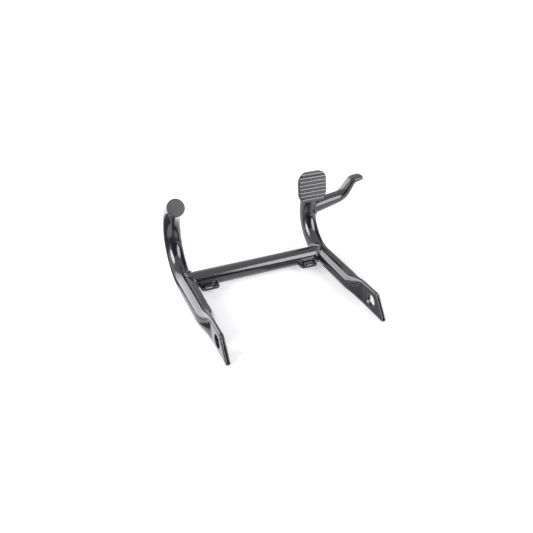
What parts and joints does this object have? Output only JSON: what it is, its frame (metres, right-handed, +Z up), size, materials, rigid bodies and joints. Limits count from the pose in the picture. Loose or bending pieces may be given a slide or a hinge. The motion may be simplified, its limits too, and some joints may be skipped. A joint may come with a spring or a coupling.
{
  "type": "motorcycle centre stand",
  "caption": "Welded tubular centre stand with curved feet, a cross tube, flattened pivot ears, a ribbed step pad and a tapered lever arm.",
  "frame": {"origin": "the middle of the pivot axis, halfway between the two ears", "axes": "+X from the feet to the pivot, +Y along the pivot axis towards the step pad and the lever, +Z up as the stand lies on its legs with the feet curved up"},
  "size_m": [0.266, 0.3611, 0.15],
  "materials": {
    "black_enamel": "gloss"
  },
  "bodies": {
    "root": {"left_leg_tube": "black_enamel", "right_leg_tube": "black_enamel", "cross_tube": "black_enamel", "left_foot_cap": "black_enamel", "foot_pad": "black_enamel", "lever_arm": "black_enamel", "left_spring_bracket": "black_enamel", "right_spring_bracket": "black_enamel", "left_cross_weld": "black_enamel", "right_cross_weld": "black_enamel", "lever_weld": "black_enamel", "pad_weld": "black_enamel", "left_bracket_weld": "black_enamel", "right_bracket_weld": "black_enamel"}
  },
  "joints": []
}
